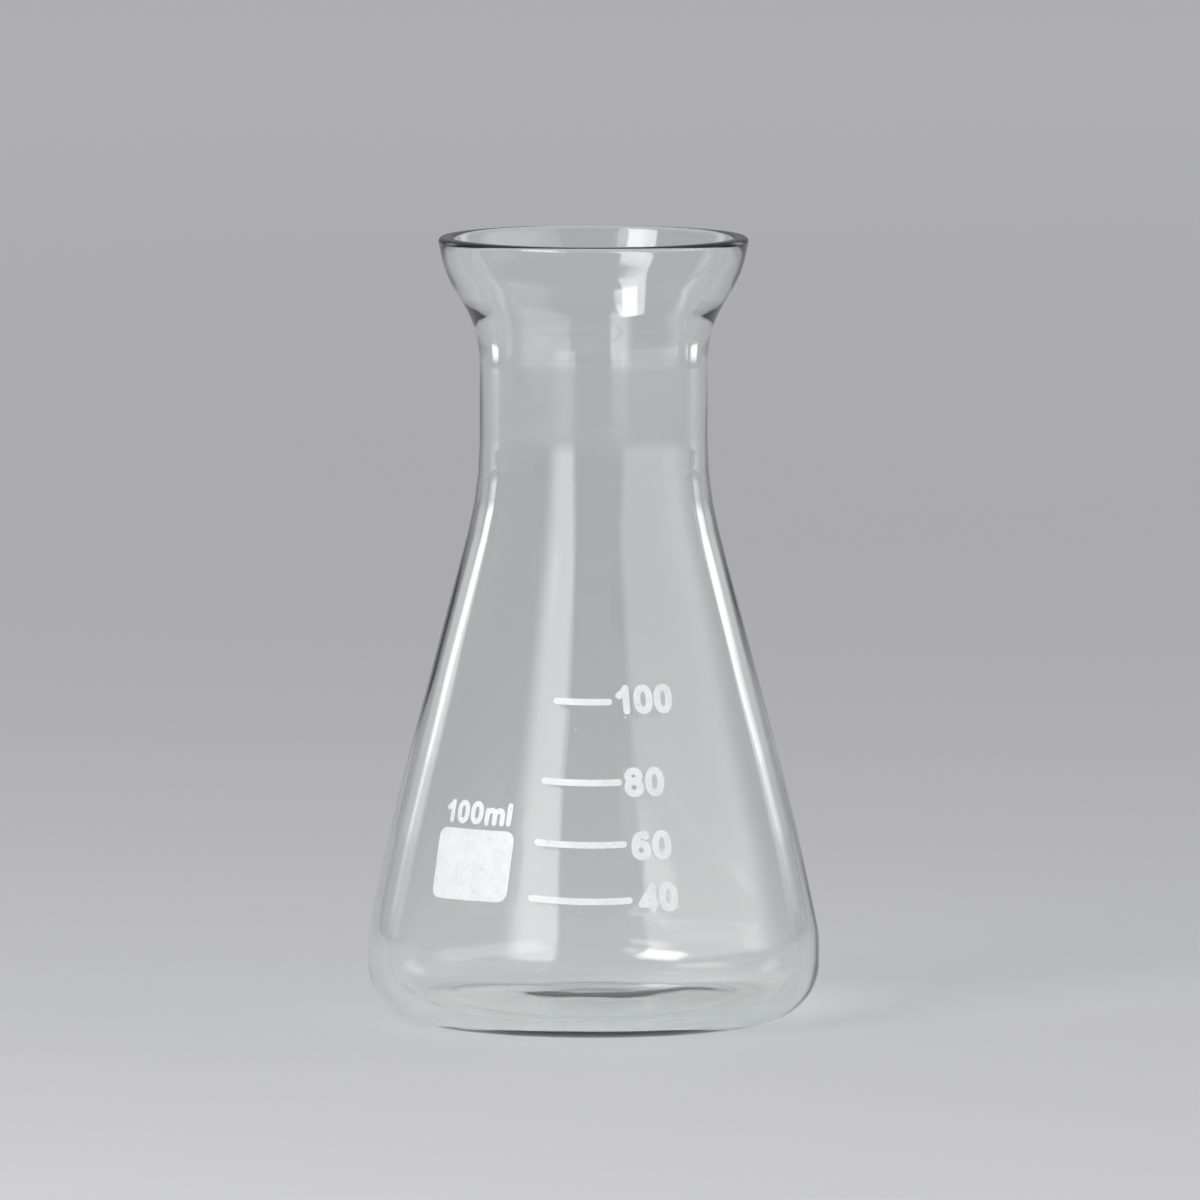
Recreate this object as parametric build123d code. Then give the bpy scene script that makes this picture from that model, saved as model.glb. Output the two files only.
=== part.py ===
from build123d import *
from itertools import accumulate
import math
import os

# A conical laboratory flask blown from one piece of borosilicate glass, with a fired white enamel scale.
# Millimetres. The origin is the centre of the foot on the table, +Z goes up through the mouth,
# and the print faces -Y.

# Outer line of the glass from the table to the rim: the rise of each straight run,
# and the radius where it meets the next one
belly_radius = 32.15
belly_rise = 12.05
bend_radius = 29.1
bend_rise = 15.1
neck_radius = 16.2
cone_rise = 48.65
neck_length = 22.5
collar_radius = 21.1
collar_rise = 7.95
rim_radius = 22.2
rim_rise = 5.35

# Rounding where the runs meet, in the same order
heel_round = 8.0
belly_round = 14.0
bend_round = 410.0
shoulder_round = 52.0
flare_round = 16.0
collar_round = 16.7
lip_round = 0.7

# Glass thickness where the runs meet
heel_wall = 2.9
bend_wall = 2.9
neck_wall = 2.8
collar_wall = 2.6
rim_wall = 2.2
floor_wall = 2.5

# Rounding of the inside where it doesn't follow the outside
inner_heel_round = 4.2
inner_flare_round = 5.0

# Push-up under the base, which leaves a flat ring to stand on
ring_width = 3.35
punt_slope = 8.8
punt_height = 1.2
ring_round = 4.0
punt_round = 30.0

# Enamel: the bars of the scale, as seen from the front, and the field to write on
enamel_thickness = 0.1
bar_width = 0.9
bar_bow_radius = 98.0
scale_bars = {
    "100": dict(height=47.55, left=-5.6, right=2.6),
    "80": dict(height=36.4, left=-7.3, right=4.0),
    "60": dict(height=27.8, left=-8.3, right=4.7),
    "40": dict(height=20.0, left=-9.2, right=5.5),
}
field_width = 12.9
field_height = 9.85
field_middle = 24.5
field_corner = 1.4
field_turn = -36.0

# What follows from them
ring_inner_radius = belly_radius - heel_round - ring_width
punt_flat_radius = ring_inner_radius - punt_slope
widest_radius = max(belly_radius, bend_radius, neck_radius, collar_radius, rim_radius)

# The share of a straight run that the rounding at its two ends may use up
rounding_share = 0.98


def corner_angle(before, corner, after):
    """Half the angle inside a corner, below zero where the line turns right instead of left."""
    back = (before - corner).normalized()
    ahead = (after - corner).normalized()
    half = math.acos(max(-1.0, min(1.0, back.dot(ahead)))) / 2
    return math.copysign(half, back.cross(ahead).Y)


def on_level(point, along, level):
    """The point moved along the line through it, up or down to a level."""
    return point + along * ((level - point.Z) / along.Z)


def outer_line():
    """Corners of the outer line with their roundings, from the foot to the rim."""
    rises = [0, belly_rise, bend_rise, cone_rise, neck_length, collar_rise, rim_rise]
    radii = [belly_radius, belly_radius, bend_radius, neck_radius, neck_radius, collar_radius, rim_radius]
    corners = [Vector(radius, 0, height) for radius, height in zip(radii, accumulate(rises))]
    roundings = [heel_round, belly_round, bend_round, shoulder_round, flare_round, collar_round, lip_round]
    ends = [Vector(0, 0, 0)] + corners + [Vector(0, 0, corners[-1].Z)]
    halves = [abs(corner_angle(*ends[i:i + 3])) for i in range(len(corners))]
    cuts = [rounding / math.tan(half) for rounding, half in zip(roundings, halves)]
    for i, (low, high) in enumerate(zip(corners, corners[1:])):
        room = rounding_share * (high - low).length
        share = min(1, room / (cuts[i] + cuts[i + 1]))
        cuts[i] *= share
        cuts[i + 1] *= share
    return corners, [cut * math.tan(half) for cut, half in zip(cuts, halves)]


def everywhere(depth):
    """The same depth at each corner of the outer line."""
    return [depth for _ in outer_line()[0]]


def line_inside(depths, foot_level):
    """The outer line moved into the glass by the depth at each corner, with the roundings that suit."""
    corners, roundings = outer_line()
    ways = [(high - low).normalized() for low, high in zip(corners, corners[1:])]
    points, suited = [], []
    befores, afters = ways[:1] + ways, ways + ways[-1:]
    for corner, rounding, depth, before, after in zip(corners, roundings, depths, befores, afters):
        across = Vector(-before.Z - after.Z, 0, before.X + after.X).normalized()
        points.append(corner + across * (depth / across.dot(Vector(-before.Z, 0, before.X))))
        turns_inward = after.cross(before).Y >= 0
        suited.append(rounding - depth if turns_inward else rounding + depth)
    points[0] = on_level(points[0], ways[0], foot_level)
    points[-1] = on_level(points[-1], ways[-1], corners[-1].Z)
    return points, suited


def turned(points, roundings):
    """The closed outline through the points, each corner rounded, turned about the flask's axis."""
    edges, arc_ends = [], []
    for i, (point, rounding) in enumerate(zip(points, roundings)):
        before, after = points[i - 1], points[(i + 1) % len(points)]
        back, ahead = (before - point).normalized(), (after - point).normalized()
        half = abs(corner_angle(before, point, after))
        cut = rounding / math.tan(half)
        start, end = point + back * cut, point + ahead * cut
        if cut:
            middle = point + (back + ahead).normalized() * (rounding / math.sin(half) - rounding)
            edges.append(ThreePointArc(start, middle, end))
        arc_ends.append((start, end))
    for i, (start, _) in enumerate(arc_ends):
        edges.append(Line(arc_ends[i - 1][1], start))
    return revolve(make_face(edges), Axis.Z)


def blown_glass():
    """Push-up base, heel, belly, cone, shoulder, neck and flared mouth, as one turned section."""
    outside, outer_roundings = line_inside(everywhere(0), 0)
    walls = [heel_wall, heel_wall, bend_wall, neck_wall, neck_wall, collar_wall, rim_wall]
    inside, inner_roundings = line_inside(walls, floor_wall)
    inner_roundings[0] = inner_heel_round
    inner_roundings[4] = inner_flare_round
    inner_roundings[-1] = lip_round
    under = [Vector(0, 0, punt_height), Vector(punt_flat_radius, 0, punt_height), Vector(ring_inner_radius, 0, 0)]
    floor = [point + Vector(0, 0, floor_wall) for point in reversed(under)]
    points = under + outside + inside[::-1] + floor
    base_roundings = [0, punt_round, ring_round]
    return turned(points, base_roundings + outer_roundings + inner_roundings[::-1] + base_roundings[::-1])


def solid_form(growth):
    """The flask's outer form without its hollow, larger all round by the growth."""
    points, roundings = line_inside(everywhere(-growth), 0)
    axis_points = [Vector(0, 0, points[-1].Z), Vector(0, 0, 0)]
    return turned(points + axis_points, roundings[:-1] + [0, 0, 0])


def scale_bar(height, left, right):
    """Outline of one bar with round ends, its middle a little lower than its ends."""
    start = math.degrees(math.asin((left + bar_width / 2) / bar_bow_radius))
    end = math.degrees(math.asin((right - bar_width / 2) / bar_bow_radius))
    middle_line = CenterArc((0, height + bar_bow_radius), bar_bow_radius, start - 90, end - start)
    return Plane.XZ * SlotArc(middle_line, bar_width)


def writing_field():
    """Outline of the rounded field to write on."""
    return Plane.XZ * Pos(0, field_middle) * RectangleRounded(field_width, field_height, field_corner)


def printed(outline, film, turn=0):
    """The outline pressed onto the film of enamel, turned about the flask's axis."""
    return (film & Rot(0, 0, turn) * extrude(outline, widest_radius + enamel_thickness)).solid()


def write(shape, name):
    shape.label = name
    export_step(shape, f"parts/{name}.step")


os.makedirs("parts", exist_ok=True)
enamel_film = solid_form(enamel_thickness) - solid_form(0)
write(blown_glass(), "flask_body")
for volume, place in scale_bars.items():
    write(printed(scale_bar(**place), enamel_film), f"scale_bar_{volume}")
write(printed(writing_field(), enamel_film, field_turn), "writing_field")
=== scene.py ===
import bpy
import bmesh
import math
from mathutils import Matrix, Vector


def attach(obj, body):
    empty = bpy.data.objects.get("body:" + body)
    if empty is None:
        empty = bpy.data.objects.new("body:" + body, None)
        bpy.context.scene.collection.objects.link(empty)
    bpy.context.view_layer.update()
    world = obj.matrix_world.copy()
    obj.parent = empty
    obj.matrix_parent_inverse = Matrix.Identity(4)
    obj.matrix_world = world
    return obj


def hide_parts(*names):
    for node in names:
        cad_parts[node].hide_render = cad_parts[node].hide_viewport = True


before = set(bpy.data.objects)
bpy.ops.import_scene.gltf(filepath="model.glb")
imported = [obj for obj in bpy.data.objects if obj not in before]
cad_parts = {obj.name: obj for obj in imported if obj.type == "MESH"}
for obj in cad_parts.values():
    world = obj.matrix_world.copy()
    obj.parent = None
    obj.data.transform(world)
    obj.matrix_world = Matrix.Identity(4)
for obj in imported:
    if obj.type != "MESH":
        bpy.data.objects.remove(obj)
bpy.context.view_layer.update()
mm = 0.001
print("frame loaded:", ", ".join(sorted(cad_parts)))


# A socket of a shader or geometry tree, so that sums on it read as plain expressions
class Wire:
    def __init__(self, tree, source=None):
        self.tree, self.source = tree, source

    def node(self, kind, settings, sockets, result=0):
        made = self.tree.nodes.new(kind)
        for key, value in settings.items():
            if key == "stops":
                ramp = made.color_ramp
                while len(ramp.elements) < len(value):
                    ramp.elements.new(0.5)
                for element, (place, shade) in zip(ramp.elements, value):
                    element.position, element.color = place, (shade, shade, shade, 1)
            else:
                setattr(made, key, value)
        for key, value in sockets.items():
            if isinstance(value, Wire):
                self.tree.links.new(value.source, made.inputs[key])
            else:
                made.inputs[key].default_value = value
        return Wire(self.tree, made.outputs[result] if made.outputs else None)

    def output(self, name):  # another output of the same node
        return Wire(self.tree, self.source.node.outputs[name])

    def sum(self, operation, first, second=0.0):
        return self.node("ShaderNodeMath", {"operation": operation}, {0: first, 1: second})

    def vector(self, operation, first, second):
        return self.node("ShaderNodeVectorMath", {"operation": operation}, {0: first, 1: second})

    def scaled(self, factor):  # a vector times a number
        return self.node("ShaderNodeVectorMath", {"operation": "SCALE"}, {0: self, "Scale": factor})

    def mixed(self, first, second):  # this share of the way from the first colour to the second
        return self.node("ShaderNodeMix", {"data_type": "RGBA"}, {0: self, 6: first, 7: second}, 2)

    def __add__(self, other):
        return self.sum("ADD", self, other)

    def __radd__(self, other):
        return self.sum("ADD", other, self)

    def __sub__(self, other):
        return self.sum("SUBTRACT", self, other)

    def __rsub__(self, other):
        return self.sum("SUBTRACT", other, self)

    def __mul__(self, other):
        return self.sum("MULTIPLY", self, other)

    def __rmul__(self, other):
        return self.sum("MULTIPLY", other, self)

    def __gt__(self, other):
        return self.sum("GREATER_THAN", self, other)

    def __lt__(self, other):
        return self.sum("LESS_THAN", self, other)


def newMaterial(name):
    material = bpy.data.materials.new(name)
    material.use_nodes = True
    material.node_tree.nodes.clear()
    return material, Wire(material.node_tree)


def finishMaterial(wire, surface):
    wire.node("ShaderNodeOutputMaterial", {}, {"Surface": surface})


def noise(wire, place, scale, detail):
    return wire.node("ShaderNodeTexNoise", {}, {"Vector": place, "Scale": scale, "Detail": detail})


# 1 inside scattered dots, which come only where a second, wider noise is high
def dots(wire, place, scale, size, spread, rarity):
    near = wire.node("ShaderNodeTexVoronoi", {}, {"Vector": place, "Scale": scale}, "Distance")
    return (near < size) * (noise(wire, place, spread, 0.0) > rarity)


# Borosilicate glass: nearly clear, with slow waves and upright draw lines in its fire-polished skin
glassFinish = dict(
    tint=(0.992, 0.998, 0.995, 1),
    deepTint=(0.984, 0.995, 0.990, 1),
    bendsLight=1.473,
    waves=55.0,  # noise scale per metre
    waveHeight=0.22 * mm,
    drawnOut=0.3,  # how far the waves are stretched upright
    specks=900.0,
    speckSize=0.055,
    speckHeight=0.05 * mm,
    speckSpread=240.0,
    speckRarity=0.62,
    smudge=0.012,  # roughness where the glass is smudged
    smudges=90.0,
    lampTint=(0.86, 0.89, 0.88, 1),
)


def boroGlass():
    material, wire = newMaterial("borosilicate_glass")
    place = wire.node("ShaderNodeTexCoord", {}, {}, "Object")
    upright = wire.vector("MULTIPLY", place, (1, 1, glassFinish["drawnOut"]))
    waves = noise(wire, upright, glassFinish["waves"], 1.5)
    speck = dots(wire, place, glassFinish["specks"], glassFinish["speckSize"],
                 glassFinish["speckSpread"], glassFinish["speckRarity"])
    waveBump = wire.node("ShaderNodeBump", {}, {"Height": waves, "Distance": glassFinish["waveHeight"]})
    bump = wire.node("ShaderNodeBump", {}, {
        "Height": speck, "Distance": glassFinish["speckHeight"], "Normal": waveBump})
    cloud = noise(wire, place, glassFinish["smudges"], 4.0)
    smudge = wire.node("ShaderNodeValToRGB", {"stops": [(0.5, 0.0), (0.72, 1.0)]}, {"Fac": cloud})
    glass = wire.node("ShaderNodeBsdfPrincipled", {}, {
        "Base Color": cloud.mixed(glassFinish["tint"], glassFinish["deepTint"]),
        "Roughness": smudge * glassFinish["smudge"],
        "IOR": glassFinish["bendsLight"],
        "Transmission Weight": 1.0,
        "Normal": bump,
    })
    forLamps = wire.node("ShaderNodeBsdfTransparent", {}, {"Color": glassFinish["lampTint"]})
    shadow = wire.node("ShaderNodeLightPath", {}, {}, "Is Shadow Ray")
    finishMaterial(wire, wire.node("ShaderNodeMixShader", {}, {0: shadow, 1: glass, 2: forLamps}))
    return material


# White enamel fired onto the glass: satin, a little grainy, with pinholes
enamelFinish = dict(
    white=(0.75, 0.76, 0.785, 1),
    thin=(0.62, 0.635, 0.66, 1),
    pinhole=(0.36, 0.37, 0.39, 1),
    grain=2600.0,
    patches=420.0,
    pinholes=1500.0,
    pinholeSize=0.16,
    pinholeSpread=700.0,
    pinholeRarity=0.6,
    pinholeShade=0.6,
    roughness=0.34,
    grainRoughness=0.22,
    bump=0.04 * mm,
)


def firedEnamel():
    material, wire = newMaterial("fired_white_enamel")
    place = wire.node("ShaderNodeTexCoord", {}, {}, "Object")
    grain = noise(wire, place, enamelFinish["grain"], 3.0)
    patch = noise(wire, place, enamelFinish["patches"], 2.0)
    cover = wire.node("ShaderNodeValToRGB", {"stops": [(0.42, 0.0), (0.75, 1.0)]}, {
        "Fac": grain * 0.5 + patch * 0.5})
    pinhole = dots(wire, place, enamelFinish["pinholes"], enamelFinish["pinholeSize"],
                   enamelFinish["pinholeSpread"], enamelFinish["pinholeRarity"])
    white = cover.mixed(enamelFinish["white"], enamelFinish["thin"])
    enamel = wire.node("ShaderNodeBsdfPrincipled", {}, {
        "Base Color": (pinhole * enamelFinish["pinholeShade"]).mixed(white, enamelFinish["pinhole"]),
        "Roughness": enamelFinish["roughness"] + grain * enamelFinish["grainRoughness"],
        "Normal": wire.node("ShaderNodeBump", {}, {
            "Height": grain - pinhole, "Distance": enamelFinish["bump"]}),
    })
    finishMaterial(wire, enamel)
    return material


glassMaterial = boroGlass()
enamelMaterial = firedEnamel()
print("materials made")


# A geometry tree with named inputs, each with its socket type. Returns the tree and its input wires
def newTree(name, inputs):
    tree = bpy.data.node_groups.new(name, "GeometryNodeTree")
    tree.interface.new_socket("Geometry", in_out="OUTPUT", socket_type="NodeSocketGeometry")
    tree.interface.new_socket("Geometry", in_out="INPUT", socket_type="NodeSocketGeometry")
    for label, kind in inputs.items():
        tree.interface.new_socket(label, in_out="INPUT", socket_type="NodeSocket" + kind)
    start = tree.nodes.new("NodeGroupInput")
    return tree, {socket.name: Wire(tree, socket) for socket in start.outputs if socket.name}


def finishTree(tree, geometry, material):
    wire = Wire(tree)
    real = wire.node("GeometryNodeRealizeInstances", {}, {"Geometry": geometry})
    painted = wire.node("GeometryNodeSetMaterial", {}, {"Geometry": real, "Material": material})
    wire.node("NodeGroupOutput", {}, {"Geometry": painted})


# Runs the tree on a mesh and keeps the result as a plain mesh, closed and facing outwards
def shaped(name, mesh, tree, values, sharpAngle):
    piece = bpy.data.objects.new(name, mesh)
    bpy.context.scene.collection.objects.link(piece)
    modifier = piece.modifiers.new("shape", "NODES")
    modifier.node_group = tree
    for item in tree.interface.items_tree:
        if item.in_out == "INPUT" and item.name in values:
            modifier[item.identifier] = values[item.name]
    graph = bpy.context.evaluated_depsgraph_get()
    result = bpy.data.meshes.new_from_object(piece.evaluated_get(graph))
    piece.modifiers.remove(modifier)
    piece.data = result
    bpy.data.meshes.remove(mesh)
    form = bmesh.new()
    form.from_mesh(result)
    bmesh.ops.recalc_face_normals(form, faces=form.faces[:])
    form.to_mesh(result)
    form.free()
    result.shade_smooth()
    result.set_sharp_from_angle(angle=math.radians(sharpAngle))
    result.name = name
    return piece


# The glass as one turned section: radius, height and rounding of each corner in millimetres,
# from the middle of the base round the outside to the rim, and down the inside to the middle again
flaskGlass = dict(
    outside=[
        (0, 1.2, 0), (12.0, 1.2, 30), (20.8, 0, 4), (32.15, 0, 8.0), (32.15, 12.05, 14),
        (29.1, 27.15, 410), (16.2, 75.8, 52), (16.2, 98.3, 16), (21.1, 106.25, 16.7), (22.2, 111.6, 0.7)],
    inside=[
        (19.95, 111.6, 0.7), (18.65, 107.22, 14.1), (13.4, 99.09, 10), (13.4, 75.44, 54.8),
        (26.27, 26.49, 407), (29.25, 11.76, 11.1), (29.25, 2.5, 5.8), (20.8, 2.5, 4),
        (12.0, 3.7, 30), (0, 3.7, 0)],
    segments=240,
    pointSpacing=1.25,  # millimetres
    arcStep=5.0,  # degrees
    plainFloor=(22.3, 12.0),  # the inside has no waves within this radius and below this height
    wavyTo=100.0,  # and none above this height, towards which they fade over the length below
    wavyFade=12.0,
    waviness=0.10 * mm,
    waveScale=48.0,
    waveStretch=0.45,
    seed=7,
    sharpAngle=60,
    weld=0.002 * mm,
)


# Points along a line of corners, each one rounded by an arc
def roundedLine(corners):
    spots = [Vector((radius, height)) for radius, height, rounding in corners]
    line = [spots[0]]
    for i in range(1, len(spots) - 1):
        back, ahead = (spots[i - 1] - spots[i]).normalized(), (spots[i + 1] - spots[i]).normalized()
        half = back.angle(ahead) / 2
        rounding = corners[i][2]
        middle = spots[i] + (back + ahead).normalized() * (rounding / math.sin(half))
        start = spots[i] + back * (rounding / math.tan(half)) - middle
        sweep = start.angle_signed(spots[i] + ahead * (rounding / math.tan(half)) - middle)
        bends = max(2, math.ceil(abs(math.degrees(sweep)) / flaskGlass["arcStep"]))
        for k in range(bends + 1):
            turn = -sweep * k / bends
            line.append(middle + Vector((
                start.x * math.cos(turn) - start.y * math.sin(turn),
                start.x * math.sin(turn) + start.y * math.cos(turn))))
    line.append(spots[-1])
    filled = [line[0]]
    for spot in line[1:]:
        gap = spot - filled[-1]
        if gap.length < 0.01:
            continue
        steps = max(1, round(gap.length / flaskGlass["pointSpacing"]))
        filled += [filled[-1] + gap * (k / steps) for k in range(1, steps + 1)]
    return filled


def sectionMesh():
    line = roundedLine(flaskGlass["outside"] + flaskGlass["inside"])
    rim = max(range(len(line)), key=lambda i: line[i].y)
    section = bpy.data.meshes.new("glass_section")
    runs = [(i, i + 1) for i in range(len(line) - 1)]
    section.from_pydata([(r * mm, 0, z * mm) for r, z in line], runs, [])
    inner = section.attributes.new("inner_wall", "FLOAT", "POINT")
    floorRadius, floorTop = flaskGlass["plainFloor"]
    for i, spot in enumerate(line):  # the inside shows the waves of blowing, the rim and the base don't
        wavy = i > rim and (spot.x > floorRadius or spot.y > floorTop)
        share = (flaskGlass["wavyTo"] - spot.y) / flaskGlass["wavyFade"] if wavy else 0
        inner.data[i].value = max(0, min(1, share))
    print("section points:", len(line))
    return section


def latheTree():
    tree, given = newTree("blown_glass", {
        "Segments": "Int", "Waviness": "Float", "Wave Scale": "Float", "Seed": "Float"})
    wire = Wire(tree)
    rows = wire.node("GeometryNodeAttributeDomainSize", {}, {"Geometry": given["Geometry"]}, "Point Count")
    grid = wire.node("GeometryNodeMeshGrid", {}, {
        "Size X": 1.0, "Size Y": 1.0, "Vertices X": given["Segments"] + 1, "Vertices Y": rows})
    across = wire.node("ShaderNodeSeparateXYZ", {}, {0: wire.node("GeometryNodeInputPosition", {}, {})})
    turn = (across + 0.5) * (2 * math.pi)
    row = wire.sum("ROUND", (across.output("Y") + 0.5) * (rows - 1))
    place = wire.node("GeometryNodeInputPosition", {}, {})
    spot = wire.node("GeometryNodeSampleIndex", {"data_type": "FLOAT_VECTOR"}, {
        "Geometry": given["Geometry"], "Value": place, "Index": row})
    innerWall = wire.node("GeometryNodeInputNamedAttribute", {"data_type": "FLOAT"}, {"Name": "inner_wall"})
    inner = wire.node("GeometryNodeSampleIndex", {"data_type": "FLOAT"}, {
        "Geometry": given["Geometry"], "Value": innerWall, "Index": row})
    section = wire.node("ShaderNodeSeparateXYZ", {}, {0: spot})
    cosine, sine = wire.sum("COSINE", turn), wire.sum("SINE", turn)
    plain = wire.node("ShaderNodeCombineXYZ", {}, {
        "X": section * cosine, "Y": section * sine, "Z": section.output("Z") * flaskGlass["waveStretch"]})
    wave = wire.node("ShaderNodeTexNoise", {"noise_dimensions": "4D"}, {
        "Vector": plain, "W": given["Seed"], "Scale": given["Wave Scale"], "Detail": 1.0})
    radius = section + (wave - 0.5) * inner * given["Waviness"]
    turned = wire.node("ShaderNodeCombineXYZ", {}, {
        "X": radius * cosine, "Y": radius * sine, "Z": section.output("Z")})
    skin = wire.node("GeometryNodeSetPosition", {}, {"Geometry": grid, "Position": turned})
    closed = wire.node("GeometryNodeMergeByDistance", {}, {"Geometry": skin, "Distance": flaskGlass["weld"]})
    finishTree(tree, closed, glassMaterial)
    return tree


flask = shaped("flask_glass", sectionMesh(), latheTree(), {
    "Segments": flaskGlass["segments"],
    "Waviness": flaskGlass["waviness"],
    "Wave Scale": flaskGlass["waveScale"],
    "Seed": float(flaskGlass["seed"]),
}, flaskGlass["sharpAngle"])
print("glass turned:", len(flask.data.polygons), "faces")


# The print. A stroke is a path in millimetres on the flat print, x to the right and y up,
# with whether it is closed
def ring(x, y, halfWidth, halfHeight, squareness=2.3, points=40):
    path = []
    for k in range(points):
        turn = 2 * math.pi * k / points
        c, s = math.cos(turn), math.sin(turn)
        path.append((
            x + halfWidth * math.copysign(abs(c) ** (2 / squareness), c),
            y + halfHeight * math.copysign(abs(s) ** (2 / squareness), s)))
    return path, True


def curved(*guides, points=14):  # an open stroke along a Bezier curve
    path = []
    for k in range(points + 1):
        level = [Vector(guide) for guide in guides]
        while len(level) > 1:
            level = [a.lerp(b, k / points) for a, b in zip(level, level[1:])]
        path.append(tuple(level[0]))
    return path, False


def straight(*spots):
    return list(spots), False


# Figures 4.05 mm tall: width and strokes along their middles
figures = {
    "0": (2.75, [ring(1.375, 2.025, 0.90, 1.55)]),
    "1": (1.93, [straight((1.44, 0.475), (1.44, 3.575)), curved((1.44, 3.575), (1.15, 3.0), (0.48, 2.60))]),
    "4": (2.76, [straight((2.06, 0.475), (2.04, 3.575)), straight((2.04, 3.575), (0.42, 1.10)),
                 straight((0.42, 1.10), (2.34, 1.10))]),
    "6": (2.75, [ring(1.375, 1.38, 0.90, 0.905, 2.1),
                 curved((0.475, 1.5), (0.4, 3.3), (1.3, 3.75), (2.15, 3.35))]),
    "8": (2.75, [ring(1.375, 1.30, 0.90, 0.825, 2.1), ring(1.375, 2.88, 0.80, 0.70, 2.1)]),
    "m": (3.90, [straight((0.42, 0.42), (0.42, 2.55)), straight((1.95, 0.42), (1.95, 1.9)),
                 straight((3.48, 0.42), (3.48, 1.9)),
                 curved((0.42, 1.75), (0.55, 2.75), (1.95, 2.95), (1.95, 1.8)),
                 curved((1.95, 1.75), (2.1, 2.75), (3.48, 2.95), (3.48, 1.8))]),
    "l": (0.95, [straight((0.475, 0.475), (0.475, 3.575))]),
}
printedWords = {
    "numeral_100": dict(figures="100", height=47.85, turn=17.7, size=1.0, stroke=0.98, gaps=(0.62, 0.22)),
    "numeral_80": dict(figures="80", height=36.45, turn=15.6, size=1.0, stroke=0.98, gaps=(0.3,)),
    "numeral_60": dict(figures="60", height=27.7, turn=16.5, size=1.0, stroke=0.98, gaps=(0.3,)),
    "numeral_40": dict(figures="40", height=20.5, turn=17.5, size=1.0, stroke=0.98, gaps=(0.25,)),
    "capacity_100_ml": dict(figures="100ml", height=31.75, turn=-36.0, size=0.80, stroke=0.95,
                            gaps=(0.62, 0.28, 0.45, 0.4)),
}
scaleBars = {  # each CAD bar with its height and ends
    "scale_bar_100": dict(height=47.55, left=-5.6, right=2.6),
    "scale_bar_80": dict(height=36.4, left=-7.3, right=4.0),
    "scale_bar_60": dict(height=27.8, left=-8.3, right=4.7),
    "scale_bar_40": dict(height=20.0, left=-9.2, right=5.5),
}
enamelPrint = dict(
    barWidth=0.9, bowRadius=98.0, figureHeight=4.05,
    fieldWidth=12.9, fieldHeight=9.85, fieldMiddle=24.5, fieldCorner=1.4, fieldTurn=-36.0,
    proud=0.1, sunk=0.04, raggedness=0.05, raggedScale=1400.0, sharpAngle=50,
    specks=[(4.48, 45.4, 0.13), (-2.49, 43.7, 0.09), (7.4, 41.2, 0.05), (-9.0, 33.1, 0.05)],
)


def sideways(path, closed, distance):  # the path moved sideways, with mitred corners
    moved = []
    for i, spot in enumerate(path):
        before = path[i - 1] if closed or i else path[0]
        after = path[(i + 1) % len(path)] if closed or i < len(path) - 1 else path[-1]
        ways = [Vector((b[0] - a[0], b[1] - a[1])) for a, b in ((before, spot), (spot, after))]
        ways = [way.normalized() for way in ways if way.length > 1e-6]
        along = sum(ways, Vector((0, 0))).normalized()
        square = Vector((-along.y, along.x))
        moved.append(Vector(spot) + square * (distance / max(0.5, along.dot(ways[0]))))
    return moved


def cap(middle, start, turns=10):  # half a circle round an end, clockwise from the start
    arm = start - middle
    return [middle + Vector((
        arm.x * math.cos(-math.pi * k / turns) - arm.y * math.sin(-math.pi * k / turns),
        arm.x * math.sin(-math.pi * k / turns) + arm.y * math.cos(-math.pi * k / turns)))
        for k in range(1, turns)]


# Adds the slab between two outlines or within one, from the glass side to the outer face
def addSlab(form, outline, hole=None):
    depths = (enamelPrint["sunk"], -enamelPrint["proud"])
    layers = [[form.verts.new((p[0] * mm, depth * mm, p[1] * mm)) for p in outline] for depth in depths]
    count = len(outline)
    for i in range(count):
        j = (i + 1) % count
        form.faces.new((layers[0][i], layers[0][j], layers[1][j], layers[1][i]))
    if hole is None:
        form.faces.new(layers[0])
        form.faces.new(layers[1][::-1])
        return
    inner = [[form.verts.new((p[0] * mm, depth * mm, p[1] * mm)) for p in hole] for depth in depths]
    for i in range(count):
        j = (i + 1) % count
        form.faces.new((inner[0][j], inner[0][i], inner[1][i], inner[1][j]))
        form.faces.new((layers[0][j], layers[0][i], inner[0][i], inner[0][j]))
        form.faces.new((layers[1][i], layers[1][j], inner[1][j], inner[1][i]))


def addStroke(form, path, closed, width):
    left, right = sideways(path, closed, width / 2), sideways(path, closed, -width / 2)
    if closed:
        addSlab(form, right, left)
        return
    outline = left + cap(Vector(path[-1]), left[-1]) + right[::-1] + cap(Vector(path[0]), right[0])
    addSlab(form, outline)


def flatMesh(name, form):
    mesh = bpy.data.meshes.new(name)
    bmesh.ops.recalc_face_normals(form, faces=form.faces[:])
    form.to_mesh(mesh)
    form.free()
    return mesh


def wordMesh(name, word):
    widths = [figures[figure][0] for figure in word["figures"]]
    length = (sum(widths) + sum(word["gaps"])) * word["size"]
    form = bmesh.new()
    left = -length / 2
    bottom = word["height"] - enamelPrint["figureHeight"] * word["size"] / 2
    for figure, gap in zip(word["figures"], word["gaps"] + (0,)):
        width, strokes = figures[figure]
        for path, closed in strokes:
            placed = [(left + x * word["size"], bottom + y * word["size"]) for x, y in path]
            addStroke(form, placed, closed, word["stroke"] * word["size"])
        left += (width + gap) * word["size"]
    return flatMesh(name, form)


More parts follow.
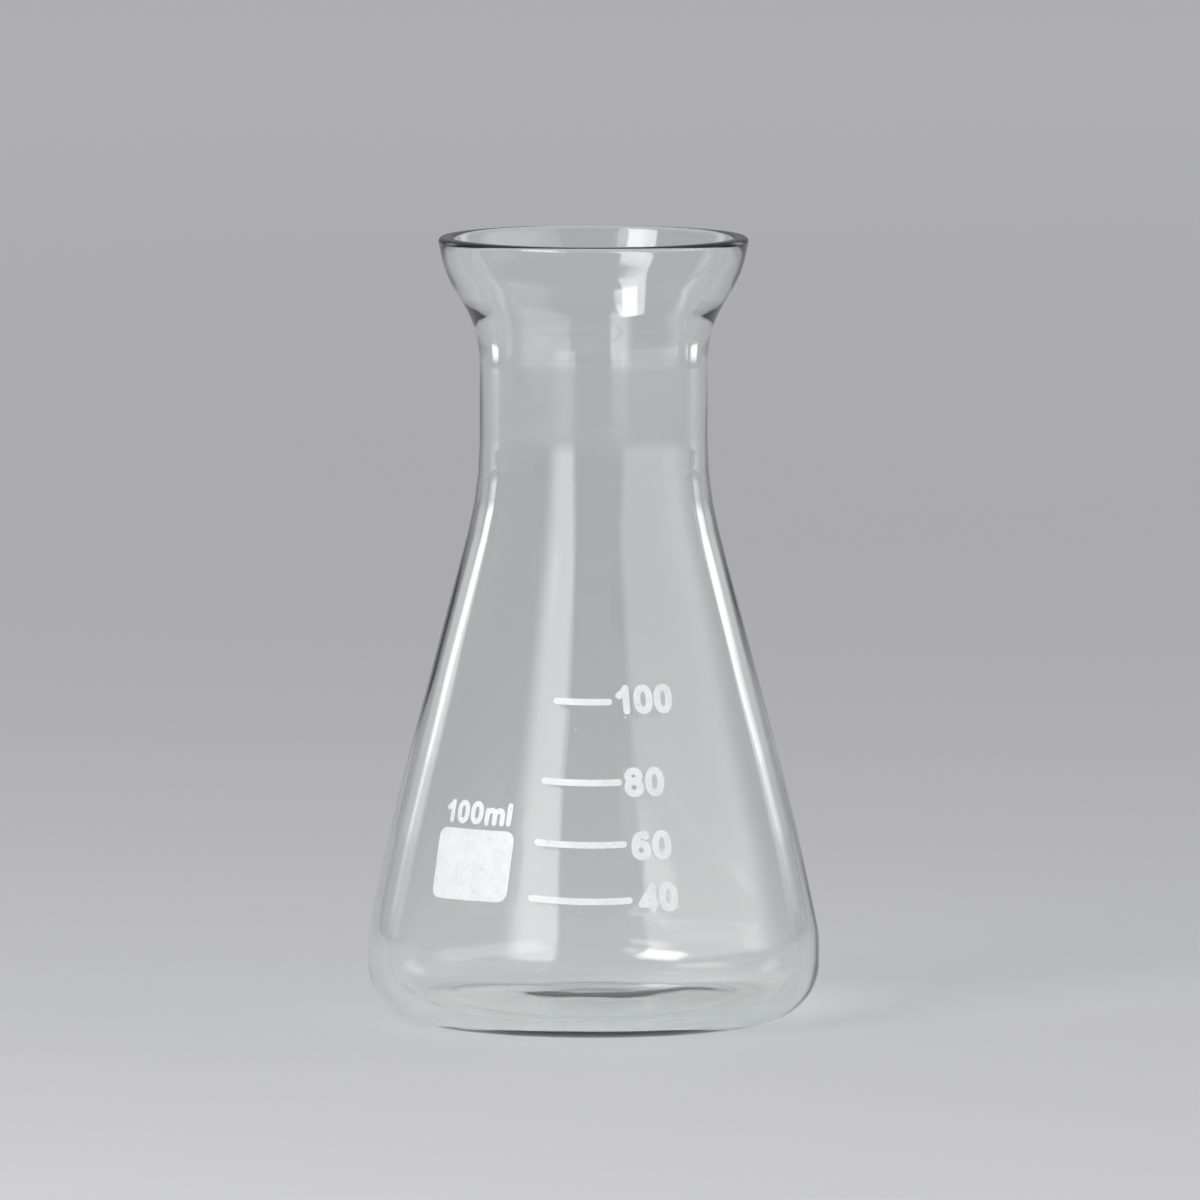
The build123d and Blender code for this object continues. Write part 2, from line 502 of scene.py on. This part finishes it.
def barMesh(name, bar):
    half, bow = enamelPrint["barWidth"] / 2, enamelPrint["bowRadius"]
    left, right = bar["left"] + half, bar["right"] - half
    spots = [left + (right - left) * k / 24 for k in range(25)]
    form = bmesh.new()
    path = [(x, bar["height"] + bow - math.sqrt(bow ** 2 - x ** 2)) for x in spots]
    addStroke(form, path, False, enamelPrint["barWidth"])
    return flatMesh(name, form)


def fieldMesh(name):
    corner = enamelPrint["fieldCorner"]
    x, y = enamelPrint["fieldWidth"] / 2 - corner, enamelPrint["fieldHeight"] / 2 - corner
    outline = []
    for middleX, middleY, first in ((x, y, 0), (-x, y, 90), (-x, -y, 180), (x, -y, 270)):
        for k in range(9):
            turn = math.radians(first + 90 * k / 8)
            outline.append((
                middleX + corner * math.cos(turn),
                enamelPrint["fieldMiddle"] + middleY + corner * math.sin(turn)))
    form = bmesh.new()
    addSlab(form, outline)
    return flatMesh(name, form)


def speckMesh(name):
    form = bmesh.new()
    for x, height, size in enamelPrint["specks"]:
        turns = [math.pi * k / 6 for k in range(12)]
        addSlab(form, [(x + size * math.cos(turn), height + size * math.sin(turn)) for turn in turns])
    return flatMesh(name, form)


# Unites the strokes, presses them onto the glass from straight in front and turns them to their place
def printTree():
    tree, given = newTree("pressed_print", {
        "Glass": "Object", "Turn": "Float", "Raggedness": "Float", "Ragged Scale": "Float"})
    wire = Wire(tree)
    united = wire.node("GeometryNodeMeshBoolean", {"operation": "UNION", "solver": "EXACT"}, {
        "Mesh 2": given["Geometry"], "Self Intersection": True})
    cut = wire.node("GeometryNodeSubdivideMesh", {}, {
        "Mesh": wire.node("GeometryNodeTriangulate", {}, {"Mesh": united}), "Level": 2})
    place = wire.node("GeometryNodeInputPosition", {}, {})
    rough = noise(wire, place, given["Ragged Scale"], 2.0).output("Color")
    push = wire.vector("MULTIPLY", wire.vector("SUBTRACT", rough, (0.5, 0.5, 0.5)), (1, 0, 1))
    flat = wire.vector("ADD", place, push.scaled(given["Raggedness"]))
    spot = wire.node("ShaderNodeSeparateXYZ", {}, {0: flat})
    height = spot.output("Z")
    before = wire.node("ShaderNodeCombineXYZ", {}, {"X": spot, "Y": -0.1, "Z": height})
    angle = given["Turn"] * math.radians(1)
    source, ahead = (
        wire.node("ShaderNodeVectorRotate", {"rotation_type": "Z_AXIS"}, {"Vector": way, "Angle": angle})
        for way in (before, (0, 1, 0)))
    glass = wire.node("GeometryNodeObjectInfo", {}, {"Object": given["Glass"]}, "Geometry")
    hit = wire.node("GeometryNodeRaycast", {}, {
        "Target Geometry": glass, "Source Position": source, "Ray Direction": ahead, "Ray Length": 1.0,
    }, "Hit Position")
    lift = hit.output("Hit Normal").scaled(0 - spot.output("Y"))
    pressed = wire.node("GeometryNodeSetPosition", {}, {
        "Geometry": cut, "Position": wire.vector("ADD", hit, lift)})
    finishTree(tree, pressed, enamelMaterial)
    return tree


pressTree = printTree()
prints = []


def addPrint(name, mesh, turn, replaced=None):
    piece = shaped(name, mesh, pressTree, {
        "Glass": flask,
        "Turn": float(turn),
        "Raggedness": enamelPrint["raggedness"] * mm,
        "Ragged Scale": enamelPrint["raggedScale"],
    }, enamelPrint["sharpAngle"])
    prints.append((piece, replaced))
    print("printed", name, len(piece.data.polygons), "faces")


for name, bar in scaleBars.items():
    addPrint("enamel_" + name, barMesh(name, bar), 0, name)
addPrint("enamel_writing_field", fieldMesh("field"), enamelPrint["fieldTurn"], "writing_field")
for name, word in printedWords.items():
    addPrint(name, wordMesh(name, word), word["turn"])
addPrint("enamel_specks", speckMesh("specks"), 0)


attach(flask, "root")
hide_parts("flask_body")
for piece, replaced in prints:
    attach(piece, "root")
    if replaced:
        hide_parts(replaced)
print("pieces placed:", 1 + len(prints))


# Studio: a pale floor, a soft box left and right of the camera with a dark gap between, a key light above
# them, and two weak boxes behind
studio = dict(
    # Painted light: the floor is coloured darker by the flask and lighter further away, making up for lamp
    # light that falls off with distance
    floorNear=(0.55, 0.55, 0.555, 1),
    floorFarPaintedLight=(0.86, 0.86, 0.865, 1),
    paintedLightFade=(0.3, 2.2),
    floorSize=9.0,
    floorDrop=0.1 * mm,
    horizon=(0.22, 0.222, 0.23, 1),
    zenith=(0.60, 0.60, 0.61, 1),
    backdrop=(0.42, 0.422, 0.43, 1),
    # azimuth from the camera towards +X, elevation, distance, width, height, radiance and soft edges
    softBoxes={
        "left_soft_box": (-35, 16, 0.75, 0.42, 0.56, 2.5, (0.45, 0.08, 0.16, 0.2)),
        "right_soft_box": (72, 16, 0.80, 1.48, 0.60, 1.1, (0.04, 0.3, 0.14, 0.2)),
        "key_light": (-46, 38, 1.3, 0.60, 0.70, 7.5, (0.10, 0.10, 0.08, 0.25)),
        "left_back_box": (-135, 14, 1.4, 0.5, 0.8, 0.9, (0.3, 0.3, 0.3, 0.3)),
        "right_back_box": (140, 14, 1.4, 0.5, 0.8, 0.9, (0.3, 0.3, 0.3, 0.3)),
    },
    lookAt=(0, 0, 55 * mm),
)


def paleFloor():
    material, wire = newMaterial("pale_floor")
    place = wire.node("ShaderNodeTexCoord", {}, {}, "Object")
    cloud = noise(wire, place, 3.0, 2.0)
    away = wire.node("ShaderNodeVectorMath", {"operation": "LENGTH"}, {0: place}, "Value")
    near, far = studio["paintedLightFade"]
    # painted light: the floor colour grows lighter with distance from the flask, standing in for the lamps'
    # fall-off
    fade = wire.node("ShaderNodeMapRange", {"interpolation_type": "SMOOTHSTEP"}, {
        "Value": away + cloud * 0.1, "From Min": near, "From Max": far})
    finishMaterial(wire, wire.node("ShaderNodeBsdfPrincipled", {}, {
        "Base Color": fade.mixed(studio["floorNear"], studio["floorFarPaintedLight"]),
        "Roughness": 0.75, "Specular IOR Level": 0.2}))
    half = studio["floorSize"] / 2
    corners = ((-half, -half), (half, -half), (half, half), (-half, half))
    mesh = bpy.data.meshes.new("floor")
    mesh.from_pydata([(x, y, -studio["floorDrop"]) for x, y in corners], [], [(0, 1, 2, 3)])
    mesh.materials.append(material)
    floor = bpy.data.objects.new("floor", mesh)
    bpy.context.scene.collection.objects.link(floor)


# A rectangle of light with edges that fade over a share of its size: left, right, bottom and top
def softBox(name, azimuth, elevation, distance, width, height, radiance, soft):
    lamp = bpy.data.lights.new(name, "AREA")
    lamp.shape, lamp.size, lamp.size_y = "RECTANGLE", width, height
    lamp.energy = radiance * 4 * width * height
    lamp.use_nodes = True
    lamp.node_tree.nodes.clear()
    wire = Wire(lamp.node_tree)
    face = wire.node("ShaderNodeNewGeometry", {}, {}, "Parametric")
    spot = wire.node("ShaderNodeSeparateXYZ", {}, {0: face})
    glow = 1.0
    for along, low, high in ((spot, soft[0], soft[1]), (spot.output("Y"), soft[2], soft[3])):
        for edge, fade in ((along, low), (1 - along, high)):
            glow = glow * wire.node("ShaderNodeMapRange", {"interpolation_type": "SMOOTHSTEP"}, {
                "Value": edge, "From Min": 0.0, "From Max": fade})
    emission = wire.node("ShaderNodeEmission", {}, {"Strength": glow})
    wire.node("ShaderNodeOutputLight", {}, {"Surface": emission})
    turn, rise = math.radians(azimuth), math.radians(elevation)
    way = Vector((math.sin(turn) * math.cos(rise), -math.cos(turn) * math.cos(rise), math.sin(rise)))
    box = bpy.data.objects.new(name, lamp)
    box.location = Vector(studio["lookAt"]) + way * distance
    box.rotation_mode = "QUATERNION"
    box.rotation_quaternion = (-way).to_track_quat("-Z", "Y")
    box.visible_camera = False
    bpy.context.scene.collection.objects.link(box)


def studioWorld():
    world = bpy.data.worlds.new("studio")
    world.use_nodes = True
    world.node_tree.nodes.clear()
    wire = Wire(world.node_tree)
    way = wire.node("ShaderNodeTexCoord", {}, {}, "Generated")
    rise = wire.node("ShaderNodeMapRange", {}, {
        "Value": wire.node("ShaderNodeSeparateXYZ", {}, {0: way}, "Z"), "From Min": 0.0, "From Max": 1.0})
    path = wire.node("ShaderNodeLightPath", {}, {}, "Is Camera Ray")
    seen = path + path.output("Is Transmission Ray")  # the glass shows the same backdrop as the camera sees
    low = seen.mixed(studio["horizon"], studio["backdrop"])
    sky = wire.node("ShaderNodeBackground", {}, {"Color": rise.mixed(low, studio["zenith"])})
    wire.node("ShaderNodeOutputWorld", {}, {"Surface": sky})
    bpy.context.scene.world = world


paleFloor()
for name, values in studio["softBoxes"].items():
    softBox(name, *values)
studioWorld()
bpy.context.scene.view_settings.view_transform = "Standard"
print("studio set")


# The camera of the photograph, which looks down a little
photoCamera = dict(
    place=(0, -2.542, 0.3053),
    target=(0.92 * mm, 0, 59.75 * mm),
    lens=538.7,
)
camera = bpy.data.cameras.new("photo_camera")
camera.lens, camera.sensor_width = photoCamera["lens"], 36
camera.clip_start, camera.clip_end = 0.1, 30
cameraPlace = bpy.data.objects.new("photo_camera", camera)
cameraPlace.location = photoCamera["place"]
cameraPlace.rotation_mode = "QUATERNION"
cameraPlace.rotation_quaternion = (
    Vector(photoCamera["target"]) - Vector(photoCamera["place"])).to_track_quat("-Z", "Y")
bpy.context.scene.collection.objects.link(cameraPlace)
bpy.context.scene.camera = cameraPlace

bpy.context.view_layer.update()
